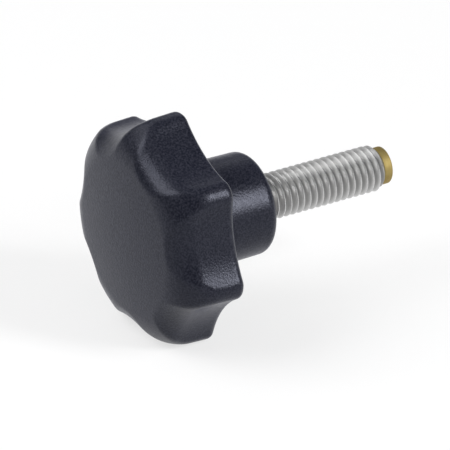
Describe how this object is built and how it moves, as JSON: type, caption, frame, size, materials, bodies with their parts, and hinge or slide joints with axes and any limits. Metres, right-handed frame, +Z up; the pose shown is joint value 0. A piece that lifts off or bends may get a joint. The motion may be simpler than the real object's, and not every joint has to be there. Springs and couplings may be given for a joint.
{
  "type": "star knob",
  "caption": "Lobed plastic hand knob with a round hub and a threaded steel stud that ends in a brass pressure tip.",
  "frame": {"origin": "centre of the hub's seating face, on the stud's axis", "axes": "+Y along the stud from the hub to the brass tip, +Z up through the middle of one lobe, +X completes the right-handed frame"},
  "size_m": [0.0391, 0.0514, 0.0383],
  "materials": {
    "knob_plastic": "finely grained black thermoplastic, matte",
    "stud_steel": "plain stainless steel with a rolled thread, dull",
    "tip_brass": "turned brass, fine facing marks"
  },
  "bodies": {
    "root": {"knob_body": "knob_plastic", "threaded_stud": "stud_steel", "brass_tip": "tip_brass"}
  },
  "joints": []
}
